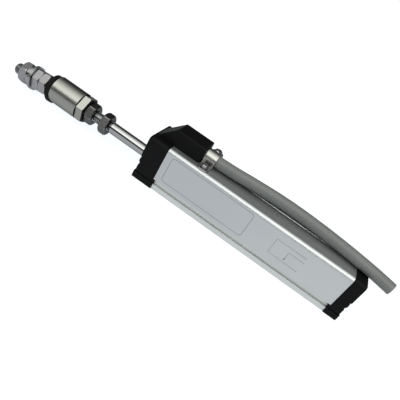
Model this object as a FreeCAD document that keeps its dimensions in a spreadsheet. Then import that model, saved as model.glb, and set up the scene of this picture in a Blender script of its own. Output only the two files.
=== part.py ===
"""Pull-rod linear displacement transducer with a ball coupling, as a parametric document.

Millimetres. X runs along the rod, which leaves the housing towards -X. The housing stands on Z = 0, and the
origin is the middle of the profile's underside. The lettered side of the housing faces -Y.
"""
import FreeCAD, Part
import math
import os
from types import SimpleNamespace

import Sketcher

SIZES = {
    # extruded profile
    "body_length": 100.0,
    "body_width": 22.0,
    "body_height": 23.5,
    "edge_radius": 2.0,
    "top_line_offset": 1.6,
    "top_line_width": 0.6,
    "top_line_depth": 0.4,
    "lip_height": 2.7,
    "lip_inset": 0.5,
    "groove_height": 2.9,
    "groove_depth": 1.6,
    "floor_thick": 1.8,
    "top_thick": 1.8,
    "lower_wall": 1.6,
    "upper_wall": 2.2,
    "rail_height": 4.8,
    "rail_wall": 1.25,
    "screw_inset": 2.4,
    "screw_height": 9.9,
    "board_drop": 5.5,
    "slot_depth": 1.0,
    # end caps
    "front_cap_length": 10.75,
    "rear_cap_length": 6.5,
    "cap_edge_radius": 0.6,
    "skirt_length": 0.6,
    "cap_line_height": 3.2,
    "cap_line_width": 0.6,
    "cap_line_depth": 0.4,
    "cap_relief_width": 4.0,
    "cap_relief_depth": 0.7,
    "pocket_depth": 1.0,
    "pocket_clearance": 0.2,
    "screw_hole_clearance": 0.15,
    "gasket_thick": 0.5,
    "gasket_rim": 0.8,
    "window_inset": 0.1,
    "window_margin": 0.8,
    "window_lap": 0.2,
    # cable head on the front cap
    "head_width": 12.0,
    "head_wall": 0.75,
    "head_length": 13.8,
    "head_setback": 0.95,
    "head_edge_radius": 0.9,
    "ledge_height": 2.9,
    "ledge_inset": 1.6,
    "ledge_root": 3.0,
    "tunnel_play": 0.4,
    "duct_side": 0.9,
    "duct_clearance": 0.3,
    "duct_web": 0.7,
    "duct_slope_wall": 3.0,
    # screws
    "cap_screw_shank": 2.4,
    "cap_screw_head": 4.4,
    "cap_screw_head_height": 1.0,
    "cap_screw_grip": 8.0,
    "strap_screw_shank": 1.9,
    "strap_screw_head": 3.8,
    "strap_screw_head_height": 1.5,
    "strap_screw_grip": 1.7,
    # rod guide
    "rod_diameter": 6.0,
    "rod_height": 9.1,
    "rod_clearance": 0.03,
    "bush_outer": 9.0,
    "bush_flange": 11.4,
    "bush_flange_thick": 1.4,
    "seal_outer": 10.9,
    "seal_thick": 2.6,
    "seal_lip": 0.7,
    "bumper_outer": 10.0,
    "bumper_play": 0.4,
    "front_bumper_length": 3.0,
    "rear_bumper_length": 7.6,
    "bumper_peg": 4.0,
    "bumper_peg_length": 2.0,
    "part_clearance": 0.05,
    # measuring element and carriage
    "board_thick": 1.6,
    "board_start": 0.5,
    "board_rear_gap": 4.5,
    "track_width": 2.4,
    "track_thick": 0.1,
    "track_spacing": 6.0,
    "track_margin": 5.0,
    "wiper_strip": 0.25,
    "wiper_width": 1.8,
    "wiper_length": 20.0,
    "wiper_gap": 0.03,
    "carriage_length": 34.0,
    "carriage_gap": 1.0,
    "slide_clearance": 0.12,
    "travel_in": 2.0,
    "stop_gap": 0.2,
    "rod_grip": 12.0,
    "clip_thick": 0.9,
    "clip_width": 8.0,
    "clip_inset": 1.3,
    "clip_bridge": 1.0,
    "clip_setback": 8.0,
    "rod_neck": 4.2,
    # wires and terminals
    "wire_diameter": 1.0,
    "wire_spacing": 1.6,
    "wire_gap": 0.6,
    "wire_bend_start": 1.6,
    "terminal_start": 3.5,
    "terminal_length": 2.0,
    "terminal_width": 1.2,
    # cable and its strap
    "cable_diameter": 6.0,
    "cable_lift": 0.05,
    "cable_entry": 3.8,
    "cable_seal_thick": 1.15,
    "cable_seal_length": 3.0,
    "strap_gap": 0.6,
    "strap_width": 5.8,
    "strap_thick": 0.8,
    "strap_inset": 1.0,
    "strap_corner": 2.4,
    "near_screw_inset": 3.1,
    "far_screw_inset": 2.4,
    # rod hardware and ball coupling
    "rod_exposed": 23.95,
    "thread_diameter": 5.9,
    "thread_run_out": 0.8,
    "thread_gap": 4.6,
    "thread_setback": 1.4,
    "nut_flats": 10.0,
    "nut_height": 4.2,
    "hex_end_flats": 12.5,
    "hex_end_length": 4.2,
    "sleeve_gap": 0.4,
    "sleeve_gap_depth": 0.9,
    "sleeve_wall": 1.9,
    "spigot_length": 3.4,
    "dome_margin": 2.1,
    "mouth_play": 1.3,
    "mouth_rim_play": 2.4,
    "ball_diameter": 8.0,
    "ball_clearance": 0.05,
    "seat_split": 0.3,
    "seat_wall": 1.0,
    "seat_floor": 0.75,
    "seat_lip": 1.05,
    "throat_play": 0.8,
    "throat_flare": 0.35,
    "disc_thick": 0.4,
    "disc_cone": 0.4,
    "disc_bore": 4.4,
    "neck_diameter": 4.6,
    "collar_length": 4.3,
    "boot_outer": 10.1,
    "boot_rim_step": 0.15,
    "boot_rim_length": 2.05,
    "boot_thick": 0.55,
    "boot_clearance": 0.2,
    "washer_outer": 12.4,
    "washer_thick": 1.6,
    "spring_washer_outer": 10.2,
    "spring_washer_thick": 2.2,
    "spring_washer_slit": 0.7,
    "stud_tip": 4.4,
    "stud_tip_diameter": 5.3,
    "stud_chamfer": 0.8,
}

# The free cable's route, measured from where the cable starts: along the rod, sideways, upwards.
CABLE_ROUTE = [
    (0.0, 0.0, 0.0),
    (15.0, 0.0, 0.0),
    (31.0, 1.6, 0.65),
    (47.0, 2.5, 1.1),
    (63.0, 2.2, 1.0),
    (79.0, 1.1, 0.55),
    (92.0, -0.9, 0.2),
    (100.0, -2.4, -0.1),
    (106.3, -3.7, -0.55),
]
ARC_SHARE = 0.45
# How the hexagons stand, in degrees from corner up, and how far the stud hangs.
ROD_NUT_TURN = 92.0
COUPLING_NUT_TURN = 96.0
HEX_END_TURN = 13.0
STUD_TURN = 10.0
END_NUT_TURN = -9.0
STUD_DROOP = 6.0


class Size:
    """A number together with the sheet formula that gives it."""

    def __init__(self, value, text):
        self.value = value
        self.text = text

    def __add__(self, other):
        other = as_size(other)
        return Size(self.value + other.value, f"({self.text} + {other.text})")

    def __sub__(self, other):
        other = as_size(other)
        return Size(self.value - other.value, f"({self.text} - {other.text})")

    def __mul__(self, other):
        other = as_size(other)
        return Size(self.value * other.value, f"({self.text} * {other.text})")

    def __truediv__(self, other):
        other = as_size(other)
        return Size(self.value / other.value, f"({self.text} / {other.text})")

    def __radd__(self, other):
        return as_size(other) + self

    def __rsub__(self, other):
        return as_size(other) - self

    def __rmul__(self, other):
        return as_size(other) * self

    def __neg__(self):
        return Size(-self.value, f"(-{self.text})")


def as_size(number):
    """Return a Size for a plain number, or the Size itself."""
    if isinstance(number, Size):
        return number
    return Size(float(number), f"({float(number)})")


def leg(hypotenuse, side):
    """Return the other short side of a right-angled triangle."""
    rest = hypotenuse * hypotenuse - side * side
    return Size(math.sqrt(rest.value), f"sqrt({rest.text})")


doc = FreeCAD.newDocument("displacement_transducer")
sheet = doc.addObject("Spreadsheet::Sheet", "sizes")
for row, (alias, number) in enumerate(SIZES.items(), start=1):
    sheet.set(f"A{row}", alias)
    sheet.set(f"B{row}", str(number))
    sheet.setAlias(f"B{row}", alias)
doc.recompute()
d = SimpleNamespace(**{alias: Size(number, f"sizes.{alias}") for alias, number in SIZES.items()})
nodes = []

# Values that several pieces share: the profile.
half_width = d.body_width / 2
lip_y = half_width - d.lip_inset
groove_y = half_width - d.groove_depth
groove_top = d.lip_height + d.groove_height
lower_y = groove_y - d.lower_wall
upper_y = half_width - d.upper_wall
slot_y = upper_y + d.slot_depth
screw_y = half_width - d.screw_inset
screw_hole = d.cap_screw_shank / 2 + d.screw_hole_clearance
channel_radius = d.cap_screw_shank / 2 + d.part_clearance
rail_y = screw_y - channel_radius - d.rail_wall
rail_bottom = d.screw_height - d.rail_height / 2
rail_top = d.screw_height + d.rail_height / 2
cavity_top = d.body_height - d.top_thick
slot_bottom = d.body_height - d.board_drop
board_z = slot_bottom + d.part_clearance
board_top = board_z + d.board_thick
slot_top = board_top + d.part_clearance
front_end = -d.body_length / 2
rear_end = d.body_length / 2

# The cable, its head and its strap.
rod_radius = d.rod_diameter / 2
cable_radius = d.cable_diameter / 2
cable_z = d.body_height + cable_radius + d.cable_lift
cable_start = d.head_length - d.cable_entry
tunnel_radius = cable_radius + d.cable_seal_thick + d.part_clearance
head_top = cable_z + tunnel_radius + d.head_wall
head_foot = d.head_setback - d.front_cap_length
wire_radius = d.wire_diameter / 2
wire_z = board_top + d.wire_gap + wire_radius
wire_bend = (cable_z - wire_z) / 2
strap_start = d.head_length + d.strap_gap
strap_inner = cable_radius + 2 * d.part_clearance
strap_outer = strap_inner + d.strap_thick
strap_x = strap_start + d.strap_width / 2
strap_reach = half_width - d.strap_inset
near_screw_y = d.near_screw_inset - strap_reach
far_screw_y = strap_reach - d.far_screw_inset
strap_screw_hole = d.strap_screw_shank / 2 + d.part_clearance
far_seat = d.body_height + d.ledge_height

# The carriage at rest: nearly pushed in, with a little travel left before the rear bumper.
carriage_top = slot_bottom - d.carriage_gap
rear_stop = rear_end + d.gasket_thick - d.rear_bumper_length
front_stop = front_end - d.gasket_thick + d.front_bumper_length
carriage_front = rear_stop - d.stop_gap - d.travel_in - d.carriage_length

# The ball coupling, from the ball outwards.
nut_bore = d.thread_diameter / 2 + d.part_clearance
neck = d.neck_diameter / 2
hollow = d.ball_diameter / 2 + d.ball_clearance
seat_outer = hollow + d.seat_wall
sleeve_inner = seat_outer + d.part_clearance
sleeve_outer = sleeve_inner + d.sleeve_wall
dome_radius = sleeve_outer + d.dome_margin
throat = neck + d.throat_play
seat_front = leg(hollow, throat) + d.seat_lip
mouth_start = seat_front + d.part_clearance
seat_back = hollow + d.seat_floor
disc_height = d.disc_thick + d.disc_cone
spigot_front = seat_back + 2 * disc_height + 2 * d.part_clearance
sleeve_rear = spigot_front + d.spigot_length
collar_distance = dome_radius + d.boot_clearance + d.boot_thick


def bind(target, prop, size):
    """Tie a property to the sheet."""
    target.setExpression(prop, as_size(size).text)


def about(axis, degrees):
    """Return a turn about the X, Y or Z axis."""
    return FreeCAD.Rotation(FreeCAD.Vector(*(float(letter == axis) for letter in "xyz")), degrees)


def new_body(label, x=0, y=0, z=0, turn=None, node=True):
    """Start a body at a bound place, turned by a rotation when given."""
    body = doc.addObject("PartDesign::Body", label)
    body.Label = label
    if turn is not None:
        body.Placement = FreeCAD.Placement(FreeCAD.Vector(), turn)
    for letter, size in zip("xyz", (x, y, z)):
        bind(body, f"Placement.Base.{letter}", size)
    if node:
        nodes.append(body)
    return body


def new_sketch(body, role, lift=None):
    """Attach a sketch to one of the body's own planes, raised by lift along the plane's normal."""
    sketch = body.newObject("Sketcher::SketchObject", f"{body.Name}_sketch")
    plane = next(feature for feature in body.Origin.OriginFeatures if feature.Role == role)
    sketch.AttachmentSupport = [(plane, "")]
    sketch.MapMode = "FlatFace"
    if lift is not None:
        bind(sketch, "AttachmentOffset.Base.z", lift)
    return sketch


def pin(sketch, geometry, point, x=None, y=None):
    """Fix a point of a sketch by its distances from the sketch's origin."""
    for kind, size in (("DistanceX", x), ("DistanceY", y)):
        if size is not None:
            size = as_size(size)
            constraint = Sketcher.Constraint(kind, -1, 1, geometry, point, size.value)
            index = sketch.addConstraint(constraint)
            sketch.setExpression(f"Constraints[{index}]", size.text)


def corner(x, y, centre=None, clockwise=False, loose=""):
    """Describe a corner, and the arc's centre if an arc leads on to the next corner.

    loose names the coordinate that an arc ending here settles by itself.
    """
    if centre is not None:
        centre = tuple(as_size(c) for c in centre)
    return SimpleNamespace(x=as_size(x), y=as_size(y), centre=centre, clockwise=clockwise, loose=loose)


def outline(sketch, corners):
    """Draw a closed outline through corners, given as (x, y) pairs or by corner()."""
    corners = [c if isinstance(c, SimpleNamespace) else corner(*c) for c in corners]
    spots = [FreeCAD.Vector(c.x.value, c.y.value, 0) for c in corners]
    tails = []
    heads = []
    for index, this in enumerate(corners):
        start = spots[index]
        end = spots[(index + 1) % len(spots)]
        if this.centre is None:
            geometry = sketch.addGeometry(Part.LineSegment(start, end))
            tails.append((geometry, 1))
            heads.append((geometry, 2))
            continue
        middle = FreeCAD.Vector(this.centre[0].value, this.centre[1].value, 0)
        circle = Part.Circle(middle, FreeCAD.Vector(0, 0, 1), (start - middle).Length)
        first, last = (end, start) if this.clockwise else (start, end)
        angles = [math.atan2(spot.y - middle.y, spot.x - middle.x) for spot in (first, last)]
        geometry = sketch.addGeometry(Part.ArcOfCircle(circle, angles[0], angles[1]))
        tails.append((geometry, 2 if this.clockwise else 1))
        heads.append((geometry, 1 if this.clockwise else 2))
        pin(sketch, geometry, 3, *this.centre)
    for index, head in enumerate(heads):
        tail = tails[(index + 1) % len(tails)]
        sketch.addConstraint(Sketcher.Constraint("Coincident", *head, *tail))
    for this, tail in zip(corners, tails):
        pin(sketch, *tail, x=None if this.loose == "x" else this.x, y=None if this.loose == "y" else this.y)


def mirrored(half):
    """Complete a half outline on the +X side of a sketch with its mirror image."""
    return half + [(-x, y) for x, y in reversed(half)]


def ring(sketch, x, y, radius):
    """Draw a circle with a bound centre and radius."""
    radius = as_size(radius)
    middle = FreeCAD.Vector(as_size(x).value, as_size(y).value, 0)
    geometry = sketch.addGeometry(Part.Circle(middle, FreeCAD.Vector(0, 0, 1), radius.value))
    pin(sketch, geometry, 3, x, y)
    index = sketch.addConstraint(Sketcher.Constraint("Radius", geometry, radius.value))
    sketch.setExpression(f"Constraints[{index}]", radius.text)


def box_outline(sketch, low_x, low_y, high_x, high_y):
    """Draw a bound rectangle."""
    outline(sketch, [(low_x, low_y), (high_x, low_y), (high_x, high_y), (low_x, high_y)])


def pad(body, sketch, length, side="One side", back=False):
    """Extrude a sketch."""
    feature = body.newObject("PartDesign::Pad", f"{body.Name}_pad")
    feature.Profile = sketch
    feature.SideType = side
    feature.Reversed = back
    bind(feature, "Length", length)
    doc.recompute()


def checked_cut(body, before):
    """Stop when a cut took nothing away."""
    doc.recompute()
    if body.Shape.Volume > before - 1e-6:
        raise RuntimeError(f"a cut in {body.Label} removed nothing")


def pocket(body, sketch, length=None, side="One side", back=False):
    """Cut a sketch into the body, right through when no length is given."""
    before = body.Shape.Volume
    feature = body.newObject("PartDesign::Pocket", f"{body.Name}_pocket")
    feature.Profile = sketch
    feature.SideType = side
    feature.Reversed = back
    if length is None:
        feature.Type = "ThroughAll"
    else:
        bind(feature, "Length", length)
    checked_cut(body, before)


def turn_up(body, sketch):
    """Revolve a sketch about its horizontal axis."""
    feature = body.newObject("PartDesign::Revolution", f"{body.Name}_turned")
    feature.Profile = sketch
    feature.ReferenceAxis = (sketch, ["H_Axis"])
    feature.Angle = 360
    doc.recompute()


def turn_out(body, sketch, axis="H_Axis"):
    """Cut a revolved sketch out of the body."""
    before = body.Shape.Volume
    feature = body.newObject("PartDesign::Groove", f"{body.Name}_bored")
    feature.Profile = sketch
    feature.ReferenceAxis = (sketch, [axis])
    feature.Angle = 360
    checked_cut(body, before)


def round_edges(body, radius, chosen):
    """Fillet the edges of the body's tip for which chosen(edge) holds."""
    base = body.Tip
    names = [f"Edge{index}" for index, edge in enumerate(base.Shape.Edges, start=1) if chosen(edge)]
    feature = body.newObject("PartDesign::Fillet", f"{body.Name}_fillet")
    feature.Base = (base, names)
    bind(feature, "Radius", radius)
    doc.recompute()


def near(number, size):
    """Tell whether a coordinate lies at a size."""
    return abs(number - as_size(size).value) < 1e-4


def lies_at(edge, x=None, y=None, z=None):
    """Tell whether the whole edge lies at the given coordinates."""
    box = edge.BoundBox
    spans = ((box.XMin, box.XMax, x), (box.YMin, box.YMax, y), (box.ZMin, box.ZMax, z))
    return all(want is None or (near(low, want) and near(high, want)) for low, high, want in spans)


def group(label, members):
    """Collect equal pieces into one node."""
    compound = doc.addObject("Part::Compound", label)
    compound.Label = label
    compound.Links = members
    nodes.append(compound)


def turned(label, corners, x, z=None, node=True, y=0, turn=None):
    """Make a piece that is turned about an axis along X."""
    body = new_body(label, x=x, y=y, z=d.rod_height if z is None else z, turn=turn, node=node)
    sketch = new_sketch(body, "XZ_Plane")
    outline(sketch, corners)
    turn_up(body, sketch)
    return body


def tube(label, outer, inner, length, x):
    """Make a plain ring about the rod's axis, reaching from x towards +X."""
    return turned(label, [(0, inner), (length, inner), (length, outer), (0, outer)], x)


def box(label, low, size, node=True):
    """Make a plain block from its low corner and its three lengths."""
    block = doc.addObject("Part::Box", label)
    block.Label = label
    for prop, length in zip(("Length", "Width", "Height"), size):
        bind(block, prop, length)
    for letter, place in zip("xyz", low):
        bind(block, f"Placement.Base.{letter}", place)
    if node:
        nodes.append(block)
    return block


def hexagon_corners(flats):
    """Return a hexagon's corners, with flats facing the sketch's +X and -X."""
    side = flats / (2 * math.sqrt(3))
    right = [(flats / 2, -side), (flats / 2, side)]
    left = [(-x, y) for x, y in reversed(right)]
    return right + [(0, 2 * side)] + left + [(0, -2 * side)]


def bevel_hexagon(body, flats, end, inward):
    """Turn the corners off one end of a hexagonal prism, at end, sloping inward along X."""
    rim = flats / 2 * 0.96
    outside = flats / math.sqrt(3) + 0.2
    sketch = new_sketch(body, "XZ_Plane")
    run = (outside - rim) * math.tan(math.radians(30)) * inward
    outline(sketch, [(end, rim), (end, outside), (end + run, outside)])
    turn_out(body, sketch)


def make_profile():
    """Extruded housing: hollow, with a clamping groove along each foot and rails that carry the screws."""
    body = new_body("housing_profile")
    sketch = new_sketch(body, "YZ_Plane")
    outline(sketch, mirrored([
        (lip_y, 0),
        (lip_y, d.lip_height),
        (groove_y, d.lip_height),
        (groove_y, groove_top),
        (half_width, groove_top),
        (half_width, d.body_height),
    ]))
    outline(sketch, mirrored([
        (lower_y, d.floor_thick),
        (lower_y, rail_bottom),
        (rail_y, rail_bottom),
        (rail_y, rail_top),
        (upper_y, rail_top),
        (upper_y, slot_bottom),
        (slot_y, slot_bottom),
        (slot_y, slot_top),
        (upper_y, slot_top),
        (upper_y, cavity_top),
    ]))
    for side in (-1, 1):
        ring(sketch, side * screw_y, d.screw_height, channel_radius)
    pad(body, sketch, d.body_length, side="Symmetric")
    round_edges(body, d.edge_radius, lambda edge: (
        lies_at(edge, z=d.body_height) and abs(edge.BoundBox.YMax - edge.BoundBox.YMin) < 1e-6))
    line = new_sketch(body, "YZ_Plane")
    outline(line, [
        (d.top_line_offset, d.body_height - d.top_line_depth),
        (d.top_line_offset + d.top_line_width, d.body_height + d.top_line_depth),
        (d.top_line_offset - d.top_line_width, d.body_height + d.top_line_depth),
    ])
    pocket(body, line, d.body_length + 1, side="Symmetric")
    hole = new_sketch(body, "XY_Plane", d.body_height)
    ring(hole, front_end + strap_x, near_screw_y, strap_screw_hole)
    pocket(body, hole, d.top_thick)


def cap_block(label, length, x, turn=None):
    """Moulded cap with a skirt that fills the profile's foot grooves, and a relief under each screw."""
    body = new_body(label, x=x, turn=turn)
    block = new_sketch(body, "YZ_Plane")
    outline(block, mirrored([(half_width, 0), (half_width, d.body_height)]))
    pad(body, block, length, back=True)
    round_edges(body, d.edge_radius, lambda edge: any(
        lies_at(edge, y=side * half_width, z=d.body_height) for side in (-1, 1)))
    round_edges(body, d.cap_edge_radius, lambda edge: (
        lies_at(edge, x=-length) and not lies_at(edge, z=0)))
    skirt = new_sketch(body, "YZ_Plane")
    gap = d.part_clearance
    for side in (-1, 1):
        outline(skirt, [(side * y, z) for y, z in (
            (half_width, 0),
            (half_width, groove_top - gap),
            (groove_y + gap, groove_top - gap),
            (groove_y + gap, d.lip_height + gap),
            (lip_y + gap, d.lip_height + gap),
            (lip_y + gap, 0),
        )])
    pad(body, skirt, d.skirt_length)
    line = new_sketch(body, "YZ_Plane", d.skirt_length)
    for side in (-1, 1):
        box_outline(line, side * (half_width - d.cap_line_depth), d.cap_line_height,
                    side * (half_width + 1), d.cap_line_height + d.cap_line_width)
    pocket(body, line, length + d.skirt_length)
    relief = new_sketch(body, "YZ_Plane", -length)
    for side in (-1, 1):
        box_outline(relief, side * (half_width - d.cap_relief_width), d.cap_line_height,
                    side * (half_width + 1), d.screw_height)
    pocket(body, relief, d.cap_relief_depth, back=True)
    return body


def cut_cap_seats(body, length):
    """Cut the gasket's recess, the screw holes and the open-sided screw pockets."""
    recess = new_sketch(body, "YZ_Plane")
    rim_y = half_width - d.gasket_rim
    box_outline(recess, -rim_y, d.gasket_rim, rim_y, d.body_height - d.gasket_rim)
    pocket(body, recess, d.gasket_thick)
    holes = new_sketch(body, "YZ_Plane")
    pockets = new_sketch(body, "YZ_Plane", -length)
    reach = half_width + 1
    radius = d.cap_screw_head / 2 + d.pocket_clearance
    for side in (-1, 1):
        ring(holes, side * screw_y, d.screw_height, screw_hole)
        outline(pockets, [
            (side * reach, d.screw_height - radius),
            (side * reach, d.screw_height + radius),
            corner(side * screw_y, d.screw_height + radius, (side * screw_y, d.screw_height), side < 0),
            corner(side * screw_y, d.screw_height - radius, loose="y"),
        ])
    pocket(body, holes)
    pocket(body, pockets, d.pocket_depth, back=True)


def make_front_cap():
    """Front cap: rod guide seat below, raised head for the cable above."""
    body = cap_block("front_cap", d.front_cap_length, front_end)
    top = d.body_height
    head = new_sketch(body, "XZ_Plane")
    outline(head, [
        (head_foot, top),
        (head_foot + head_top - top, head_top),
        (d.head_length, head_top),
        (d.head_length, top),
    ])
    pad(body, head, d.head_width, side="Symmetric")
    half_head = d.head_width / 2
    round_edges(body, d.head_edge_radius, lambda edge: (
        lies_at(edge, z=head_top) or (
            any(lies_at(edge, y=side * half_head) for side in (-1, 1))
            and near(edge.BoundBox.ZMax, head_top) and near(edge.BoundBox.ZMin, top)
            and near(edge.BoundBox.XMin, head_foot))))
    ledge = new_sketch(body, "YZ_Plane", -d.ledge_root)
    box_outline(ledge, half_head - 1, top, half_width - d.ledge_inset, far_seat)
    pad(body, ledge, d.ledge_root + strap_start + d.strap_width)
    cut_cap_seats(body, d.front_cap_length)
    bore = new_sketch(body, "XZ_Plane")
    front = -d.front_cap_length
    seal_back = front + d.seal_thick
    flange_back = -d.gasket_thick - d.bush_flange_thick
    z = d.rod_height
    gap = d.part_clearance
    outline(bore, [
        (front - 1, z),
        (front - 1, z + d.seal_outer / 2 + gap),
        (seal_back, z + d.seal_outer / 2 + gap),
        (seal_back, z + d.bush_outer / 2 + gap),
        (flange_back, z + d.bush_outer / 2 + gap),
        (flange_back, z + d.bush_flange / 2 + gap),
        (0, z + d.bush_flange / 2 + gap),
        (0, z),
    ])
    axis = bore.addGeometry(Part.LineSegment(FreeCAD.Vector(-5, z.value, 0), FreeCAD.Vector(5, z.value, 0)), True)
    for point in (1, 2):
        pin(bore, axis, point, x=(-5, 5)[point - 1], y=z)
    turn_out(body, bore, "Axis0")
    duct = new_sketch(body, "XZ_Plane")
    room = wire_radius + d.duct_clearance
    tunnel_end = cable_start - d.tunnel_play
    duct_front = -d.wire_bend_start - wire_bend - room
    web = -d.gasket_thick - d.duct_web
    slope = top - head_foot - d.duct_slope_wall
    outline(duct, [
        (duct_front, wire_z - room),
        (-d.gasket_thick, wire_z - room),
        (-d.gasket_thick, wire_z + room),
        (web, wire_z + room),
        (web, cable_z - room),
        (tunnel_end, cable_z - room),
        (tunnel_end, cable_z + room),
        (cable_z + room - slope, cable_z + room),
        (duct_front, slope + duct_front),
    ])
    pocket(body, duct, 2 * (d.wire_spacing + room + d.duct_side), side="Symmetric")
    tunnel = new_sketch(body, "YZ_Plane", d.head_length)
    outline(tunnel, [
        (-tunnel_radius, top),
        (tunnel_radius, top),
        corner(tunnel_radius, cable_z, (0, cable_z)),
        corner(-tunnel_radius, cable_z, loose="x"),
    ])
    pocket(body, tunnel, d.head_length - tunnel_end)
    thread = new_sketch(body, "XY_Plane", far_seat)
    ring(thread, strap_x, far_screw_y, strap_screw_hole)
    pocket(body, thread, d.strap_screw_grip + 0.2)


def make_rear_cap():
    """Rear cap with the blind hole that holds the bumper's peg."""
    body = cap_block("rear_cap", d.rear_cap_length, rear_end, about("z", 180))
    cut_cap_seats(body, d.rear_cap_length)
    peg = new_sketch(body, "YZ_Plane")
    ring(peg, 0, d.rod_height, d.bumper_peg / 2 + d.part_clearance)
    pocket(body, peg, d.gasket_thick + d.bumper_peg_length + 0.1)


def make_gasket(label, x, turn=None):
    """Flat gasket in a cap's recess."""
    body = new_body(label, x=x, turn=turn)
    sketch = new_sketch(body, "YZ_Plane")
    gap = d.part_clearance
    edge_y = half_width - d.gasket_rim - gap
    box_outline(sketch, -edge_y, d.gasket_rim + gap, edge_y, d.body_height - d.gasket_rim - gap)
    window_y = rail_y - d.window_inset
    box_outline(sketch, -window_y, d.floor_thick + d.window_margin, window_y, cavity_top - d.window_lap)
    for side in (-1, 1):
        ring(sketch, side * screw_y, d.screw_height, screw_hole)
    pad(body, sketch, d.gasket_thick, back=True)


def make_cap_screws(label, cap_length, end, outward):
    """The two screws of one cap; outward is -1 at the front and 1 at the rear."""
    shank = d.cap_screw_shank / 2
    head = d.cap_screw_head / 2
    reach = cap_length - d.pocket_depth + d.cap_screw_grip
    crown = 0.35 * d.cap_screw_head_height
    bodies = [turned(f"{label}_{name}", [
        (outward * -reach, 0),
        (outward * -reach, shank),
        (0, shank),
        (0, head),
        (outward * (d.cap_screw_head_height - crown), head),
        (outward * d.cap_screw_head_height, head - crown),
        (outward * d.cap_screw_head_height, 0),
    ], end + outward * (cap_length - d.pocket_depth), d.screw_height, node=False, y=side * screw_y)
        for name, side in (("near", -1), ("far", 1))]
    group(label, bodies)


def make_rod_guide():
    """Bush, scraper ring and the two end-of-travel bumpers."""
    gap = d.part_clearance
    front = front_end - d.front_cap_length
    bush_start = front + d.seal_thick
    flange_start = front_end - d.gasket_thick - d.bush_flange_thick
    length = front_end - d.gasket_thick - bush_start
    inner = rod_radius + d.rod_clearance
    turned("rod_bush", [
        (0, inner),
        (length, inner),
        (length, d.bush_flange / 2),
        (flange_start - bush_start, d.bush_flange / 2),
        (flange_start - bush_start, d.bush_outer / 2),
        (0, d.bush_outer / 2),
    ], bush_start)
    turned("rod_scraper", [
        (0, inner),
        (d.seal_lip, inner),
        (2 * d.seal_lip, inner + d.seal_lip),
        (d.seal_thick - gap, inner + d.seal_lip),
        (d.seal_thick - gap, d.seal_outer / 2),
        (0.5 * d.seal_lip, d.seal_outer / 2),
        (0, inner + d.seal_lip),
    ], front)
    tube("front_bumper", d.bumper_outer / 2, rod_radius + d.bumper_play, d.front_bumper_length,
         front_end - d.gasket_thick)
    bevel = 0.1 * d.bumper_outer
    turned("rear_bumper", [
        (d.bumper_peg_length, 0),
        (d.bumper_peg_length, d.bumper_peg / 2),
        (0, d.bumper_peg / 2),
        (0, d.bumper_outer / 2),
        (bevel - d.rear_bumper_length, d.bumper_outer / 2),
        (-d.rear_bumper_length, d.bumper_outer / 2 - bevel),
        (-d.rear_bumper_length, 0),
    ], rear_end + d.gasket_thick)


def make_measuring_element():
    """Resistance board in the profile's slots, its two tracks, and the terminals at its front end."""
    board_x = front_end + d.board_start
    board_y = slot_y - d.part_clearance
    board_length = d.body_length - d.board_start - d.board_rear_gap
    box("track_board", (board_x, -board_y, board_z), (board_length, 2 * board_y, d.board_thick))
    track_length = board_length - 2 * d.track_margin
    tracks = [box(f"track_{name}", (board_x + d.track_margin, side * d.track_spacing / 2 - d.track_width / 2,
                                    board_z - d.track_thick),
                  (track_length, d.track_width, d.track_thick), node=False)
              for name, side in (("near", -1), ("far", 1))]
    group("resistance_tracks", tracks)
    posts = [box(f"terminal_{name}", (front_end + d.terminal_start, place * d.wire_spacing - d.terminal_width / 2,
                                      board_top),
                 (d.terminal_length, d.terminal_width, d.wire_gap + d.wire_diameter), node=False)
             for name, place in (("near", -1), ("middle", 0), ("far", 1))]
    group("solder_terminals", posts)


def make_wires():
    """Three conductors that turn from the cable's end back to the board's terminals."""
    bend = -d.wire_bend_start
    wires = []
    for name, place in (("near", -1), ("middle", 0), ("far", 1)):
        body = new_body(f"wire_{name}", x=front_end, y=place * d.wire_spacing, node=False)
        section = new_sketch(body, "YZ_Plane", cable_start)
        ring(section, 0, cable_z, wire_radius)
        path = new_sketch(body, "XZ_Plane")
        start = FreeCAD.Vector(cable_start.value, cable_z.value, 0)
        high = FreeCAD.Vector(bend.value, cable_z.value, 0)
        low = FreeCAD.Vector(bend.value, wire_z.value, 0)
        end = FreeCAD.Vector(d.terminal_start.value, wire_z.value, 0)
        middle = FreeCAD.Vector(bend.value, wire_z.value + wire_bend.value, 0)
        path.addGeometry(Part.LineSegment(start, high))
        circle = Part.Circle(middle, FreeCAD.Vector(0, 0, 1), wire_bend.value)
        path.addGeometry(Part.ArcOfCircle(circle, math.pi / 2, 3 * math.pi / 2))
        path.addGeometry(Part.LineSegment(low, end))
        path.addConstraint(Sketcher.Constraint("Coincident", 0, 2, 1, 1))
        path.addConstraint(Sketcher.Constraint("Coincident", 1, 2, 2, 1))
        pin(path, 0, 1, cable_start, cable_z)
        pin(path, 0, 2, bend, cable_z)
        pin(path, 1, 3, bend, wire_z + wire_bend)
        pin(path, 2, 1, x=bend)
        pin(path, 2, 2, d.terminal_start, wire_z)
        feature = body.newObject("PartDesign::AdditivePipe", f"{body.Name}_pipe")
        feature.Profile = section
        feature.Spine = (path, [])
        doc.recompute()
        wires.append(body)
    group("lead_wires", wires)


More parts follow.
